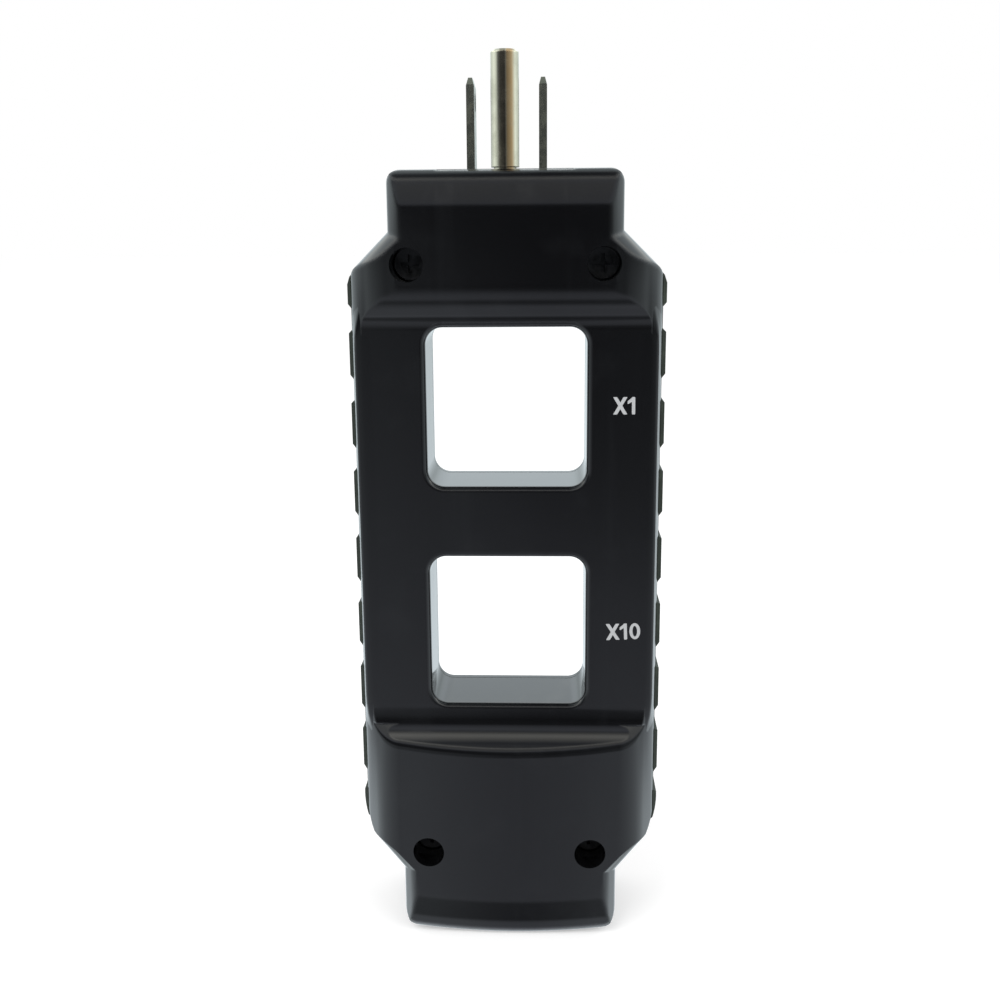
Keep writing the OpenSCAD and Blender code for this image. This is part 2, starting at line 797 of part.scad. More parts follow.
module ground_wire() {
  color("#2f7a3f") wire([
    [0, pin_y, wire_top], [0, pin_y, crimp_low - 0.4], [0.7, pin_y + 0.4, crimp_low - 1.8],
    [3.6, pin_y + 1.1, cross_z + 0.9], [bar_x - 7.5, -4.4, cross_z], [bar_x - 2.7, -3.7, cross_z - 1.8],
    [bar_x, -3.7, cross_z - 6.5], [bar_x, -3.7, splice_z + 1], [side_wire_x, -3.7, splice_z - 4],
    [side_wire_x, -3.7, tail_top + 8], [side_wire_x - 1.6, -4, tail_top + 5],
    [side_wire_x - 5.4, -4.6, tail_top + 2.8], [8, -5.6, tail_top + 1.9],
    [2, pin_y + 0.1, tail_top + 1.8], [0.4, pin_y, tail_top + 1], [0, pin_y, tail_top - 0.4],
    [0, pin_y, tail_top - 2.5]
  ], wire_r, 12);
}

module slot(x, w, z0, z1, t) {
  box(x - t / 2, x + t / 2, blade_y - w / 2, blade_y + w / 2, z0, z1);
}

module receptacle_face() {
  color("#232326") difference() {
    union() {
      intersection() {
        box(-face_w / 2, face_w / 2, -face_d / 2, face_d / 2, 0, body_z);
        rotate([90, 0, 90]) linear_extrude(height = 2 * face_w, center = true)
          polygon([
            [0.6 - face_d / 2, 0], [face_d / 2 - 0.6, 0], [face_d / 2, 0.6],
            [face_d / 2, body_z], [-face_d / 2, body_z], [-face_d / 2, 0.6]
          ]);
      }
      box(-face_w / 2 - 3, face_w / 2 + 3, -face_d / 2, face_d / 2, end_wall + 0.05, body_z);
    }
    slot(-blade_x, line_slot_w, -1, body_z + 1, slot_t);
    slot(blade_x, neutral_slot_w, -1, body_z + 1, slot_t);
    z_rod(0, pin_y, -1, body_z + 1, pin_hole_r);
  }
}

pocket_h = 4.1;
pocket_t = 2.6;
ground_r = 3;

module receptacle_body() {
  top = body_z + body_l;
  color("#3a2f28") difference() {
    box(-body_w / 2, body_w / 2, -body_d / 2, body_d / 2, body_z, top);
    for (s = [-1, 1])
      box(s * blade_x - pocket_t, s * blade_x + pocket_t, blade_y - pocket_h, blade_y + pocket_h,
        body_z - 1, top + 1);
    z_rod(0, pin_y, body_z - 1, top + 1, ground_r + 0.05);
  }
}

module contact_cover() {
  low = body_z + body_l;
  color("#8a6a42") difference() {
    box(-body_w / 2, body_w / 2, -body_d / 2, body_d / 2, low, low + cover_t);
    for (p = plug_points()) z_rod(p[0], p[1], low - 1, low + cover_t + 1, crimp_r + 0.1);
  }
}

// double leaf contact with a crimp tail; bore is the radius of the wire space
module leaf_contact(side, bore) {
  low = body_z + 2;
  top = body_z + body_l - 0.05;
  difference() {
    union() {
      for (s = [-1, 1]) translate([side * blade_x + s * (blade_t / 2 + 0.37), blade_y, (low + top) / 2])
        cube([0.6, 2 * pocket_h - 0.8, top - low], center = true);
      box(side * blade_x - pocket_t + 0.1, side * blade_x + pocket_t - 0.1,
        blade_y - pocket_h + 0.1, blade_y + pocket_h - 0.1, top - 2.5, top);
      z_rod(side * blade_x, blade_y, top - 0.1, tail_top, crimp_r);
    }
    z_rod(side * blade_x, blade_y, tail_top - 4.5, tail_top + 1, bore);
  }
}

module line_contact() {
  color("#b8934a") leaf_contact(-1, coil_r + 0.05);
}

module neutral_contact() {
  color("#b8934a") leaf_contact(1, wire_r + 0.05);
}

module ground_contact() {
  low = body_z + 1;
  top = body_z + body_l - 0.05;
  color("#b8934a") difference() {
    union() {
      z_rod(0, pin_y, low, top, ground_r);
      z_rod(0, pin_y, top - 0.1, tail_top, crimp_r);
    }
    z_rod(0, pin_y, low - 1, top - 2.5, pin_r + 0.06);
    box(-0.5, 0.5, pin_y - 5, pin_y + 5, low - 1, top - 4);
    z_rod(0, pin_y, tail_top - 4.5, tail_top + 1, wire_r + 0.05);
  }
}

rear_shell();
front_shell();
left_grip();
right_grip();
case_screws();
plug_insert();
line_blade();
neutral_blade();
ground_pin();
plug_crimps();
line_wire();
line_splice();
line_coil();
coil_former();
coil_tape();
neutral_wire();
ground_wire();
receptacle_face();
receptacle_body();
contact_cover();
line_contact();
neutral_contact();
ground_contact();
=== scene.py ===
import json
import math
import bpy
import bmesh
from mathutils import Matrix, Vector


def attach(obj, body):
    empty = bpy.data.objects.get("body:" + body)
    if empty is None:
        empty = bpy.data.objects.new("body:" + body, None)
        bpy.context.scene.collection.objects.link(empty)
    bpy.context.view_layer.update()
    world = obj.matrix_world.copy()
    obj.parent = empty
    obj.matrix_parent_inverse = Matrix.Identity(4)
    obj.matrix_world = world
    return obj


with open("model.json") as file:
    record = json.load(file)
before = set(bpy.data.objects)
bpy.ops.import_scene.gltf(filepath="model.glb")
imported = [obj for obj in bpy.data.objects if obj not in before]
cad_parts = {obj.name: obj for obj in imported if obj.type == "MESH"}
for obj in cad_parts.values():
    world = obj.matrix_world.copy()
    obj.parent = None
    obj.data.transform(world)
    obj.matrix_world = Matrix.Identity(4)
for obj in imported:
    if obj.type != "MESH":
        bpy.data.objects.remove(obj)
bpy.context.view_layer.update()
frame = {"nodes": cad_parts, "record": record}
nodes = frame["nodes"]
mm = 0.001
print("frame loaded:", len(nodes), "nodes")


class Wire:  # a node socket that takes part in Python arithmetic
    def __init__(self, tree, socket):
        self.tree = tree
        self.socket = socket

    def math(self, operation, other, flip=False):
        pair = [other, self] if flip else [self, other]
        return self.tree.add("ShaderNodeMath", {"operation": operation}, {0: pair[0], 1: pair[1]})

    def __add__(self, other):
        return self.math("ADD", other)

    def __radd__(self, other):
        return self.math("ADD", other)

    def __sub__(self, other):
        return self.math("SUBTRACT", other)

    def __rsub__(self, other):
        return self.math("SUBTRACT", other, True)

    def __mul__(self, other):
        return self.math("MULTIPLY", other)

    def __rmul__(self, other):
        return self.math("MULTIPLY", other)

    def __truediv__(self, other):
        return self.math("DIVIDE", other)

    def within(self, low, high):  # 0 below low, 1 above high
        return self.tree.add("ShaderNodeMapRange",
                             {"clamp": True, "interpolation_type": "SMOOTHSTEP"},
                             {"Value": self, "From Min": low, "From Max": high})

    def absolute(self):
        return self.tree.add("ShaderNodeMath", {"operation": "ABSOLUTE"}, {0: self})


class Tree:  # one node tree, with a single way to add a node
    def __init__(self, nodeTree):
        self.nodeTree = nodeTree
        nodeTree.nodes.clear()

    def raw(self, kind, settings=None, values=None):
        node = self.nodeTree.nodes.new(kind)
        for key, value in (settings or {}).items():
            if key == "stops":
                ramp = node.color_ramp
                while len(ramp.elements) < len(value):
                    ramp.elements.new(0.5)
                for element, (place, colour) in zip(ramp.elements, value):
                    element.position = place
                    element.color = colour
            else:
                setattr(node, key, value)
        for key, value in (values or {}).items():
            if isinstance(value, Wire):
                self.nodeTree.links.new(value.socket, node.inputs[key])
            else:
                node.inputs[key].default_value = value
        return node

    def add(self, kind, settings=None, values=None, output=0):
        return Wire(self, self.raw(kind, settings, values).outputs[output])

    def close(self, shader, kind="ShaderNodeOutputMaterial"):
        self.nodeTree.links.new(shader.outputs[0], self.raw(kind).inputs[0])

    def mix(self, factor, colourA, colourB):
        return self.add("ShaderNodeMix", {"data_type": "RGBA"},
                        {0: factor, 6: colourA, 7: colourB}, 2)

    def vector(self, operation, first, second):
        place = "Scale" if operation == "SCALE" else 1
        return self.add("ShaderNodeVectorMath", {"operation": operation},
                        {0: first, place: second})

    def place(self, stretch=(1, 1, 1)):  # object coordinates, in metres
        return self.vector("MULTIPLY", self.add("ShaderNodeTexCoord", None, None, 3), stretch)

    def along(self, axis):  # one of the object coordinates
        return self.add("ShaderNodeSeparateXYZ", None, {0: self.place()}, axis)

    def noise(self, scale, detail, rough, stretch=(1, 1, 1)):
        return self.add("ShaderNodeTexNoise", None, {
            "Vector": self.place(stretch), "Scale": scale, "Detail": detail, "Roughness": rough})

    def rounded(self, radius):  # soft shading over the moulded edges
        return self.add("ShaderNodeBevel", {"samples": 6}, {"Radius": radius})

    def bump(self, height, strength, distance, normal=None):
        values = {"Height": height, "Strength": strength, "Distance": distance}
        if normal is not None:
            values["Normal"] = normal
        return self.add("ShaderNodeBump", None, values)


def grey(level):
    return (level, level, level, 1.0)


def finish(name, build):  # makes a material, with build filling its Principled shader
    material = bpy.data.materials.new(name)
    material.use_nodes = True
    tree = Tree(material.node_tree)
    tree.close(tree.raw("ShaderNodeBsdfPrincipled", None, build(tree)))
    return material


# In the finishes lengths are in metres. A noise is its scale, detail, roughness and stretch, its
# span is where it sets in and is full, and a bump is its strength and depth.

# moulded case: high gloss, fine flow ripple, light handling scuffs
casePlastic = {
    "base": (0.0030, 0.0031, 0.0036, 1), "scuffed": (0.0060, 0.0064, 0.0072, 1),
    "rough": 0.08, "roughScuffed": 0.18, "ior": 1.5,
    "wear": (90, 5, 0.6), "wearSpan": (0.52, 0.74), "wearShare": 0.55,
    "streaks": (160, 4, 0.62, (1, 1, 0.06)), "streakSpan": (0.56, 0.72), "streakShare": 0.45,
    "pits": (2600, 2, 0.5), "pitBump": (0.06, 0.00002),
    "ripple": (120, 1, 0.4), "rippleBump": (0.05, 0.0002),
    # radius of the soft edges: wider on both end blocks, and none round the screw recesses
    "edge": 0.0004, "endEdge": 0.0012, "socketEnd": (0.0095, 0.0125), "plugEnd": (0.1165, 0.1205),
    "recesses": ((0.0151, 0.01735), (0.0167, 0.12565)), "recessRim": (0.0034, 0.0039),
}


def caseEdge(tree):  # the radius of the soft edges at each place
    across = tree.along(0).absolute()
    height = tree.along(2)
    ends = 1 - height.within(*casePlastic["socketEnd"]) + height.within(*casePlastic["plugEnd"])
    radius = ends * (casePlastic["endEdge"] - casePlastic["edge"]) + casePlastic["edge"]
    for x, z in casePlastic["recesses"]:
        square = (across - x) * (across - x) + (height - z) * (height - z)
        radius = radius * square.math("POWER", 0.5).within(*casePlastic["recessRim"])
    return radius


def buildCase(tree):
    wear = tree.noise(*casePlastic["wear"]).within(*casePlastic["wearSpan"])
    streaks = tree.noise(*casePlastic["streaks"]).within(*casePlastic["streakSpan"])
    marks = wear * casePlastic["wearShare"] + streaks * casePlastic["streakShare"]
    pits = tree.noise(*casePlastic["pits"])
    ripple = tree.noise(*casePlastic["ripple"])
    normal = tree.bump(pits, *casePlastic["pitBump"], tree.rounded(caseEdge(tree)))
    normal = tree.bump(ripple, *casePlastic["rippleBump"], normal)
    roughRise = casePlastic["roughScuffed"] - casePlastic["rough"]
    return {"Base Color": tree.mix(marks, casePlastic["base"], casePlastic["scuffed"]),
            "Roughness": marks * roughRise + casePlastic["rough"],
            "IOR": casePlastic["ior"], "Normal": normal}


# side grips: dull rubber with a fine tooth and rubbed pad edges
gripRubber = {
    "base": (0.012, 0.016, 0.010, 1), "rubbed": (0.022, 0.028, 0.018, 1),
    "rough": 0.62, "roughRubbed": 0.5, "ior": 1.5, "specular": 0.2, "edge": 0.0003,
    "rub": (220, 4, 0.6), "rubSpan": (0.45, 0.7),
    "tooth": (3800, 3, 0.6), "toothBump": (0.35, 0.00006),
}


def buildGrip(tree):
    tooth = tree.noise(*gripRubber["tooth"])
    rub = tree.noise(*gripRubber["rub"]).within(*gripRubber["rubSpan"])
    roughRise = gripRubber["roughRubbed"] - gripRubber["rough"]
    return {"Base Color": tree.mix(rub, gripRubber["base"], gripRubber["rubbed"]),
            "Roughness": rub * roughRise + gripRubber["rough"],
            "IOR": gripRubber["ior"], "Specular IOR Level": gripRubber["specular"],
            "Normal": tree.bump(tooth, *gripRubber["toothBump"], tree.rounded(gripRubber["edge"]))}


# satin mouldings that carry the pins and the socket openings
insertPlastic = {
    "base": (0.014, 0.014, 0.016, 1), "dusty": (0.030, 0.030, 0.031, 1),
    "rough": 0.32, "roughDusty": 0.47, "edge": 0.0003,
    "dust": (260, 5, 0.65), "dustSpan": (0.5, 0.72),
    "grain": (3000, 3, 0.6), "grainBump": (0.25, 0.00004),
}


def buildInsert(tree):
    grain = tree.noise(*insertPlastic["grain"])
    dust = tree.noise(*insertPlastic["dust"]).within(*insertPlastic["dustSpan"])
    roughRise = insertPlastic["roughDusty"] - insertPlastic["rough"]
    soft = tree.rounded(insertPlastic["edge"])
    return {"Base Color": tree.mix(dust, insertPlastic["base"], insertPlastic["dusty"]),
            "Roughness": dust * roughRise + insertPlastic["rough"],
            "Normal": tree.bump(grain, *insertPlastic["grainBump"], soft)}


# ground pin: pale nickelled brass, drawn along its length, with a painted dark reflection as a line
# on its left half and a yellow stripe on its right half
pinBrass = {
    "bright": (0.50, 0.47, 0.37, 1), "dull": (0.34, 0.32, 0.24, 1), "dullShare": 0.6,
    # the painted dark reflection line: its colour, its share, and where it sets in and fades across
    # the pin
    "reflectionDark": (0.20, 0.17, 0.12, 1), "reflectionDarkShare": 0.85,
    "reflectionDarkFrom": (-0.0011, -0.0007), "reflectionDarkTo": (-0.0001, 0.0003),
    # the yellow stripe: its colour, its share, less where stained, and where it sets in and fades
    # across the pin
    "worn": (0.42, 0.27, 0.13, 1), "yellowShare": 0.95, "yellowStained": 0.2,
    "yellowFrom": (0.0, 0.0004), "yellowTo": (0.0010, 0.0017), "waver": 0.0002,
    "rough": 0.13, "roughRubbed": 0.10, "roughStained": 0.08, "edge": 0.00025,
    "stain": (240, 5, 0.6), "stainSpan": (0.42, 0.68),
    "rubbed": (500, 3, 0.5, (1, 1, 0.12)), "rubbedSpan": (0.5, 0.7),
    "drawn": (900, 4, 0.6, (1, 1, 0.03)), "drawnBump": (0.25, 0.00002),
}


def buildPin(tree):
    drawn = tree.noise(*pinBrass["drawn"])
    stain = tree.noise(*pinBrass["stain"]).within(*pinBrass["stainSpan"])
    rubbed = tree.noise(*pinBrass["rubbed"]).within(*pinBrass["rubbedSpan"])
    across = tree.along(0) + (rubbed - 0.5) * pinBrass["waver"]
    # a yellow stripe along the pin just right of its middle
    yellow = across.within(*pinBrass["yellowFrom"]) * (1 - across.within(*pinBrass["yellowTo"]))
    # painted reflection: a dark line along the pin just left of its middle, standing in for the
    # dark front mirrored in the metal
    dark = across.within(*pinBrass["reflectionDarkFrom"]) * (1 - across.within(*pinBrass["reflectionDarkTo"]))
    base = tree.mix(stain * pinBrass["dullShare"], pinBrass["bright"], pinBrass["dull"])
    # paints the dark reflection line into the colour
    base = tree.mix(dark * pinBrass["reflectionDarkShare"], base, pinBrass["reflectionDark"])
    yellowShare = yellow * (pinBrass["yellowShare"] - stain * pinBrass["yellowStained"])
    rough = rubbed * pinBrass["roughRubbed"] + stain * pinBrass["roughStained"] + pinBrass["rough"]
    return {"Base Color": tree.mix(yellowShare, base, pinBrass["worn"]),
            "Metallic": 1.0, "Roughness": rough,
            "Normal": tree.bump(drawn, *pinBrass["drawnBump"], tree.rounded(pinBrass["edge"]))}


# blades, screws and the pieces inside: stained metal, or plastic and board with faint patches
metalKind = {"metallic": 1.0, "patch": (500, 4, 0.6), "patchSpan": (0.4, 0.7), "roughRise": 0.15,
             "grain": (2500, 3, 0.5), "grainBump": (0.2, 0.00002)}
plainKind = {"metallic": 0.0, "patch": (400, 4, 0.6), "patchSpan": (0.38, 0.66), "roughRise": 0.12,
             "grain": (2400, 3, 0.6), "grainBump": (0.25, 0.00003)}

# material name, kind, colour, colour of the patches, and roughness
otherFinishes = {
    "blade_brass": ("bladeBrass", metalKind, (0.29, 0.295, 0.235), (0.20, 0.20, 0.155), 0.22),
    "screw_steel": ("blackenedSteel", metalKind, (0.055, 0.055, 0.057), (0.035, 0.035, 0.035), 0.5),
    "tinned": ("tinnedCopper", metalKind, (0.6, 0.6, 0.6), (0.4, 0.4, 0.4), 0.25),
    "contact_brass": ("contactBrass", metalKind, (0.6, 0.45, 0.2), (0.4, 0.27, 0.1), 0.22),
    "coil_enamel": ("coilEnamel", plainKind, (0.30, 0.09, 0.03), (0.2, 0.05, 0.02), 0.2),
    "former_nylon": ("formerNylon", plainKind, (0.62, 0.58, 0.47), (0.52, 0.48, 0.38), 0.45),
    "tape_yellow": ("windingTape", plainKind, (0.62, 0.42, 0.06), (0.5, 0.32, 0.04), 0.3),
    "wire_black": ("blackInsulation", plainKind, (0.012, 0.012, 0.012), (0.02, 0.02, 0.02), 0.35),
    "wire_white": ("whiteInsulation", plainKind, (0.7, 0.7, 0.68), (0.6, 0.6, 0.57), 0.35),
    "wire_green": ("greenInsulation", plainKind, (0.03, 0.2, 0.05), (0.02, 0.14, 0.04), 0.35),
    "body_brown": ("socketThermoset", plainKind, (0.05, 0.03, 0.018), (0.03, 0.018, 0.01), 0.4),
    "cover_board": ("fibreBoard", plainKind, (0.28, 0.16, 0.07), (0.2, 0.11, 0.045), 0.6),
}


def patchy(kind, light, dark, rough):
    def build(tree):
        patch = tree.noise(*kind["patch"]).within(*kind["patchSpan"])
        grain = tree.noise(*kind["grain"])
        return {"Base Color": tree.mix(patch, light + (1,), dark + (1,)),
                "Metallic": kind["metallic"], "Roughness": patch * kind["roughRise"] + rough,
                "Normal": tree.bump(grain, *kind["grainBump"])}
    return build


finishes = {
    "case_black": finish("casePlastic", buildCase),
    "grip_rubber": finish("gripRubber", buildGrip),
    "insert_black": finish("insertPlastic", buildInsert),
    "plug_brass": finish("pinBrass", buildPin),
}
for slot, (name, *look) in otherFinishes.items():
    finishes[slot] = finish(name, patchy(*look))
for part in frame["record"]["subparts"]:
    node = nodes[part["node"]]
    node.data.materials.clear()
    ownFinish = "blade_brass" if "blade" in part["node"] else part["material_slot"]
    node.data.materials.append(finishes[ownFinish])
print("finishes made:", len(finishes))


def addPiece(name, mesh, finishName, sharpAngle=None):  # a new piece of the case
    data = bpy.data.meshes.new(name)
    mesh.to_mesh(data)
    mesh.free()
    if sharpAngle is not None:
        data.set_sharp_from_angle(angle=math.radians(sharpAngle))
    data.materials.append(finishes[finishName])
    piece = bpy.data.objects.new(name, data)
    bpy.context.scene.collection.objects.link(piece)
    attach(piece, "root")


def bridge(mesh, first, second):  # a band of faces between two closed rings of as many points
    for i in range(len(first)):
        j = (i + 1) % len(first)
        mesh.faces.new([first[i], first[j], second[j], second[i]])


# square corners of the rear shell along the waist, run out into both ramps, in millimetres
waistCorner = {
    "side": ((27.085, -5.9), (26.93, -7.0), (26.66, -8.1), (26.43, -8.8)),
    "edge": 25.85, "radius": 0.5, "steps": 6, "face": -9.59,
    "fade": ((24.9, -9.59), (24.1, -9.586), (22.6, -9.573)),  # very flat, down into the waist face
    "deep": ((24.0, -9.0), (25.3, -7.6), (26.2, -6.0)),  # inside the shell
    "flankCentre": (19.85, -4.286), "flankRadius": 7.41, "under": 0.08,
    "sharpAngle": 32,
    # height, and how much of the full section stands out there
    "rise": ((39.5, 0.0), (41, 0.12), (42.5, 0.42), (44, 0.76), (46, 0.96), (48, 1.0), (80, 1.0),
             (111.5, 1.0), (113.5, 0.94), (115, 0.74), (116.5, 0.42), (118, 0.12), (119.5, 0.0)),
}


def cornerSection():  # the full section, from the grip round the corner to the waist face
    ring = list(waistCorner["side"])
    radius = waistCorner["radius"]
    for i in range(waistCorner["steps"] + 1):
        turn = math.pi / 2 * i / waistCorner["steps"]
        ring.append((waistCorner["edge"] + radius * math.cos(turn),
                     waistCorner["face"] + radius * (1 - math.sin(turn))))
    return ring + list(waistCorner["fade"])


def sunk(x, y):  # the nearest place just under the round flank and the waist face
    centreX, centreY = waistCorner["flankCentre"]
    under = waistCorner["under"]
    dx = x - centreX
    dy = y - centreY
    share = min(1.0, (waistCorner["flankRadius"] - under) / math.hypot(dx, dy))
    return centreX + dx * share, max(centreY + dy * share, waistCorner["face"] + under)


def buildCorner(name, side):
    mesh = bmesh.new()
    rows = []
    for z, share in waistCorner["rise"]:
        ring = []
        for x, y in cornerSection():
            inX, inY = sunk(x, y)
            ring.append((inX + (x - inX) * share, inY + (y - inY) * share))
        ring += waistCorner["deep"]
        rows.append([mesh.verts.new((side * x * mm, y * mm, z * mm)) for x, y in ring])
    for low, high in zip(rows, rows[1:]):
        bridge(mesh, low, high)
    mesh.faces.new(rows[0])
    mesh.faces.new(rows[-1][::-1])
    bmesh.ops.recalc_face_normals(mesh, faces=mesh.faces)
    for face in mesh.faces:
        face.smooth = True
    addPiece(name, mesh, "case_black", waistCorner["sharpAngle"])


buildCorner("waistCornerLeft", -1)
buildCorner("waistCornerRight", 1)
print("waist corners built")


# printed factor marks beside the windows: a multiplication sign and plain numerals, in millimetres
scaleMarks = {
    "ink": (0.46, 0.47, 0.48, 1), "worn": (0.32, 0.33, 0.34, 1), "rough": 0.5,
    "wear": (2600, 4, 0.7), "wearSpan": (0.58, 0.82),
    "grain": (6000, 2, 0.5), "grainBump": (0.3, 0.00001),
    "front": -9.61, "rear": -9.57, "high": 3.05, "stroke": 0.57, "round": 0.14,
    "times": {"wide": 2.5, "heavier": 1.22, "gap": 0.02},
    "one": {"left": 0.74, "bend": 0.12, "flagTop": 0.76, "flagLow": 0.58, "flagRoot": 0.72,
            "gap": 0.42},
    "nought": {"wide": 1.96, "steps": 32, "flatter": 0.9},
    # text, place of its lower left end, and tilt in degrees
    "marks": {"markTimesOne": ("x1", 18.52, 99.85, 0.4),
              "markTimesTen": ("x10", 17.76, 58.62, 2.2)},
}


def buildInk(tree):
    worn = tree.noise(*scaleMarks["wear"]).within(*scaleMarks["wearSpan"])
    grain = tree.noise(*scaleMarks["grain"])
    return {"Base Color": tree.mix(worn, scaleMarks["ink"], scaleMarks["worn"]),
            "Roughness": scaleMarks["rough"], "Normal": tree.bump(grain, *scaleMarks["grainBump"])}


finishes["mark_ink"] = finish("markInk", buildInk)


def softened(ring, kept):  # a short curve in place of each corner that isn't kept
    out = []
    for i, corner in enumerate(ring):
        if i in kept:
            out.append(corner)
            continue
        ends = []
        for end in (ring[i - 1], ring[(i + 1) % len(ring)]):
            share = min(scaleMarks["round"] / math.dist(corner, end), 0.4)
            ends.append(tuple(corner[k] + (end[k] - corner[k]) * share for k in (0, 1)))
        middle = tuple((ends[0][k] + 2 * corner[k] + ends[1][k]) / 4 for k in (0, 1))
        out += [ends[0], middle, ends[1]]
    return out


def timesSign(x, high, stroke):  # four arms round a centre
    wide = scaleMarks["times"]["wide"]
    arm = stroke * scaleMarks["times"]["heavier"]
    dip = high * (wide / 2 - arm) / (wide - arm)
    centre = [(x + wide / 2, high - dip), (x + (wide + arm) / 2, high / 2),
              (x + wide / 2, dip), (x + (wide - arm) / 2, high / 2)]
    tips = [((wide - arm, high), (wide, high)), ((wide, 0), (wide - arm, 0)),
            ((arm, 0), (0, 0)), ((0, high), (arm, high))]
    shapes = [centre]
    for i, tip in enumerate(tips):
        ring = [centre[i]] + [(x + px, py) for px, py in tip] + [centre[(i + 1) % 4]]
        shapes.append(softened(ring, (0, 3)))
    return shapes, wide + scaleMarks["times"]["gap"]


def numeralOne(x, high, stroke):
    one = scaleMarks["one"]
    left = one["left"]
    corner = high - one["bend"]
    stem = [(left, 0), (left + stroke, 0), (left + stroke, high), (left + one["bend"], high),
            (left, corner)]
    flag = [(left, corner), (0, high * one["flagTop"]), (0, high * one["flagLow"]),
            (left, high * one["flagRoot"])]
    shapes = [softened([(x + px, py) for px, py in stem], (3, 4)),
              softened([(x + px, py) for px, py in flag], (0, 3))]
    return shapes, left + stroke + one["gap"]


def numeralNought(x, high, stroke):
    nought = scaleMarks["nought"]
    half = nought["wide"] / 2
    inHalf = half - stroke
    inHigh = high / 2 - stroke * nought["flatter"]
    turns = [2 * math.pi * i / nought["steps"] for i in range(nought["steps"])]
    outer = [(x + half * (1 + math.cos(a)), high / 2 * (1 + math.sin(a))) for a in turns]
    inner = [(x + half + inHalf * math.cos(a), high / 2 + inHigh * math.sin(a)) for a in turns]
    quads = []
    for i in range(len(turns)):
        j = (i + 1) % len(turns)
        quads.append([outer[i], outer[j], inner[j], inner[i]])
    return quads, nought["wide"]


signs = {"x": timesSign, "1": numeralOne, "0": numeralNought}


def printMark(name, text, left, low, tilt):
    mesh = bmesh.new()
    along = 0.0
    turn = math.radians(tilt)
    for letter in text:
        shapes, step = signs[letter](along, scaleMarks["high"], scaleMarks["stroke"])
        for shape in shapes:
            ring = [((left + px * math.cos(turn) - py * math.sin(turn)) * mm,
                     (low + px * math.sin(turn) + py * math.cos(turn)) * mm) for px, py in shape]
            front, rear = [[mesh.verts.new((px, y * mm, pz)) for px, pz in ring]
                           for y in (scaleMarks["front"], scaleMarks["rear"])]
            mesh.faces.new(front)
            mesh.faces.new(rear[::-1])
            bridge(mesh, front, rear)
        along += step
    bmesh.ops.triangulate(mesh, faces=[face for face in mesh.faces if len(face.verts) > 4])
    bmesh.ops.recalc_face_normals(mesh, faces=mesh.faces)
    addPiece(name, mesh, "mark_ink")


for name, mark in scaleMarks["marks"].items():
    printMark(name, *mark)
print("marks printed:", len(scaleMarks["marks"]))


# floor, in metres, which only the camera sees brighter than the light makes it
floorPlate = {"half": 6.0, "colour": 0.82, "rough": 0.9, "ownLight": 0.36}


def buildFloor(tree):
    camera = tree.add("ShaderNodeLightPath")
    return {"Base Color": grey(floorPlate["colour"]), "Roughness": floorPlate["rough"],
            "Specular IOR Level": 0.0, "Emission Strength": 1.0,
            "Emission Color": tree.mix(camera, grey(0.0), grey(floorPlate["ownLight"]))}


half = floorPlate["half"]
floorMesh = bpy.data.meshes.new("floor")
floorMesh.from_pydata([(-half, -half, 0), (half, -half, 0), (half, half, 0), (-half, half, 0)],
                      [], [(0, 1, 2, 3)])
floorMesh.materials.append(finish("paleFloor", buildFloor))
floor = bpy.data.objects.new("floor", floorMesh)
bpy.context.scene.collection.objects.link(floor)
floor.visible_glossy = False


# What gloss sees. Angles are in degrees, up from the horizon or round from the front, and a pair
# of them is the span over which something sets in.
roomLevels = {
    "most": 4.0,  # the brightest level that the ramps can hold
    "height": ((-90, 1.20), (-76, 1.30), (-68, 0.95), (-61, 0.62), (-55, 0.28), (-50, 0.14),
               (-44, 0.20), (-40, 0.45), (-34, 0.54), (-22, 0.47), (-14, 0.30), (-5, 0.15),
               (0, 0.05), (8, 0.07), (15, 0.55), (19, 0.72), (22, 0.42), (25, 0.9), (27, 1.6),
               (30, 1.9), (34, 1.3), (40, 0.34), (50, 0.12), (90, 0.12)),
    "turn": ((0, 0.0), (6, 0.06), (14, 0.21), (26, 0.35), (38, 0.48), (52, 0.69), (65, 0.95),
             (78, 1.5), (94, 2.3), (112, 1.6), (130, 0.95), (180, 0.83)),
    "roomTint": (0.95, 1.0, 1.14), "sideTint": (0.89, 1.0, 1.03), "diffuse": 0.78,
    # the warm lamp panel above, brighter off the middle
    "panelTint": (1.06, 1.0, 0.83), "panel": (24, 36), "panelFrom": (21, 26), "panelTo": (36, 42),
    "panelOffMiddle": (3, 14), "panelSides": 0.4,
    # behind the object
    "rear": (95, 140), "behind": 0.5, "lift": 0.3, "liftFrom": (2, 10),
    # the sides grow darker above the bench
    "upperFrom": (-28, -21), "upperTo": (-6, 2), "upperFade": 0.66,
    "upperTurn": (62, 88), "upperDark": 0.84,
    # narrow dark bands toward the front, at the height of the pins
    "front": (50, 76), "left": (-4, 8),
    "leftFrom": (-3, 4), "leftTo": (12, 17), "leftDark": 0.93,
    "rightFrom": (-3, 0), "rightTo": (0.5, 2.5), "rightDark": 0.5,
    # the camera and its holder, a soft dark spot a little to the right
    "spotTurn": 7, "spotHeight": -5, "spotSize": 12, "spotSpan": (0.1, 1.3), "spotDark": 0.5,
}


def angle(degrees):  # as the share of a half turn
    return degrees / 180


def past(wire, span):  # 0 before a span of degrees and 1 after it
    return wire.within(angle(span[0]), angle(span[1]))


def between(wire, start, stop):  # 1 between two spans
    return past(wire, start) * (1 - past(wire, stop))


def levelColour(place, level):
    low, high = roomLevels["panel"]
    level = level / roomLevels["most"]
    if low < place < high:
        return tuple(level * part for part in roomLevels["panelTint"]) + (1.0,)
    return grey(level)


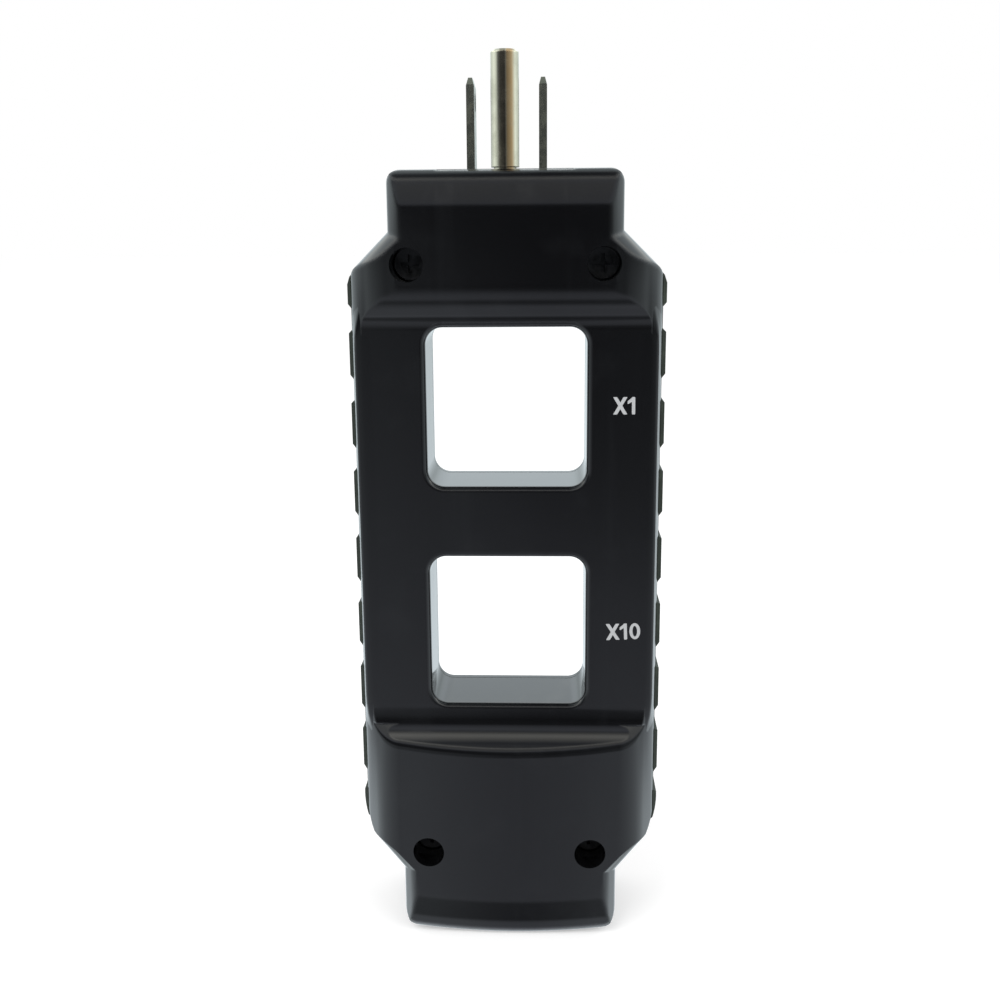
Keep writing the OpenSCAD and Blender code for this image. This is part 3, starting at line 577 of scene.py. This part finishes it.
def roomLight(tree, height, signed, turn):  # by height, with the panel and the dark spot
    room = tree.add("ShaderNodeValToRGB", {"stops": [
        (angle(place) + 0.5, levelColour(place, level)) for place, level in roomLevels["height"]
    ]}, {0: height + 0.5})
    across = (signed - angle(roomLevels["spotTurn"])) / angle(roomLevels["spotSize"])
    above = (height - angle(roomLevels["spotHeight"])) / angle(roomLevels["spotSize"])
    spot = 1 - (across * across + above * above).within(*roomLevels["spotSpan"])
    dim = 1 - spot * roomLevels["spotDark"]
    dim = dim * (past(turn, roomLevels["rear"]) * (roomLevels["behind"] - 1) + 1)
    panel = between(height, roomLevels["panelFrom"], roomLevels["panelTo"])
    panel = panel * past(turn, roomLevels["panelOffMiddle"])
    dim = dim * (panel * roomLevels["panelSides"] + 1)
    room = tree.vector("SCALE", room, dim * roomLevels["most"])
    return tree.vector("MULTIPLY", room, roomLevels["roomTint"])


def sideLight(tree, height, signed, turn):  # by turn, with the dark bands
    side = tree.add("ShaderNodeValToRGB", {"stops": [
        (angle(place), grey(level / roomLevels["most"])) for place, level in roomLevels["turn"]
    ]}, {0: turn})
    rear = past(turn, roomLevels["rear"])
    front = 1 - past(turn, roomLevels["front"])
    left = past(signed * -1, roomLevels["left"])
    upper = past(height, roomLevels["upperFrom"]) * (1 - rear)
    upper = upper * (1 - past(height, roomLevels["upperTo"]) * roomLevels["upperFade"])
    upper = upper * past(turn, roomLevels["upperTurn"])
    leftBand = between(height, roomLevels["leftFrom"], roomLevels["leftTo"]) * left * front
    rightBand = between(height, roomLevels["rightFrom"], roomLevels["rightTo"]) * (1 - left) * front
    share = (1 - upper * roomLevels["upperDark"]) * (1 - leftBand * roomLevels["leftDark"])
    share = share * (1 - rightBand * roomLevels["rightDark"])
    side = tree.vector("SCALE", side, share * roomLevels["most"])
    lift = past(height, roomLevels["liftFrom"]) * rear * roomLevels["lift"]
    return tree.vector("MULTIPLY", tree.vector("ADD", side, lift), roomLevels["sideTint"])


def buildWorld():
    world = bpy.data.worlds.new("studio")
    bpy.context.scene.world = world
    world.use_nodes = True
    tree = Tree(world.node_tree)
    path = tree.raw("ShaderNodeLightPath")
    direct, glossy, through = (Wire(tree, path.outputs[name]) for name in
                               ("Is Camera Ray", "Is Glossy Ray", "Is Transmission Ray"))
    coords = tree.raw("ShaderNodeTexCoord")
    split = tree.raw("ShaderNodeSeparateXYZ", None, {0: Wire(tree, coords.outputs["Generated"])})
    dx, dy, dz = (Wire(tree, split.outputs[i]) for i in range(3))
    height = tree.add("ShaderNodeMath", {"operation": "ARCSINE"}, {0: dz}) / math.pi
    signed = dx.math("ARCTAN2", dy * -1) / math.pi  # to the right of the front
    turn = signed.absolute()
    seen = tree.vector("ADD", roomLight(tree, height, signed, turn),
                       sideLight(tree, height, signed, turn))
    seen = tree.mix(glossy, grey(roomLevels["diffuse"]), seen)
    seen = tree.mix(direct, seen, grey(1.0))
    seen = tree.mix(through, seen, grey(1.0))
    tree.close(tree.raw("ShaderNodeBackground", None, {"Color": seen, "Strength": 1.0}),
               "ShaderNodeOutputWorld")


buildWorld()


# area lamps, in metres and watts, turned to the middle of the object
lampAim = (0, 0, 0.07)
lamps = {"key": {"from": (-0.7, -0.9, 1.3), "size": 1.0, "power": 9.0},
         "fill": {"from": (0.9, -0.6, 0.8), "size": 1.2, "power": 5.0}}
for name, lamp in lamps.items():
    light = bpy.data.lights.new(name, "AREA")
    light.size = lamp["size"]
    light.energy = lamp["power"]
    holder = bpy.data.objects.new(name, light)
    holder.location = lamp["from"]
    reach = Vector(lampAim) - Vector(lamp["from"])
    holder.rotation_euler = reach.to_track_quat("-Z", "Y").to_euler()
    holder.visible_glossy = False
    bpy.context.scene.collection.objects.link(holder)

# the camera's place is in millimetres, and its focal length in pixels of the frame
view = {"from": (7.193, -218.064, 131.686), "right": (0.999222, 0.038588, -0.008187),
        "up": (-0.000509, 0.220142, 0.975468), "focal": 1208.0, "frame": 1000.0, "sensor": 36.0,
        "clip": (0.01, 50)}
lens = bpy.data.cameras.new("camera")
lens.sensor_width = view["sensor"]
lens.sensor_fit = "HORIZONTAL"
lens.lens = view["focal"] / view["frame"] * view["sensor"]
lens.clip_start, lens.clip_end = view["clip"]
camera = bpy.data.objects.new("camera", lens)
right = Vector(view["right"]).normalized()
up = Vector(view["up"])
up = (up - right * up.dot(right)).normalized()
turned = Matrix((right, up, right.cross(up))).transposed().to_4x4()
camera.matrix_world = Matrix.Translation(Vector(view["from"]) * mm) @ turned
bpy.context.scene.collection.objects.link(camera)
bpy.context.scene.camera = camera
bpy.context.scene.view_settings.view_transform = "Standard"
print("stage, lamps and camera set")
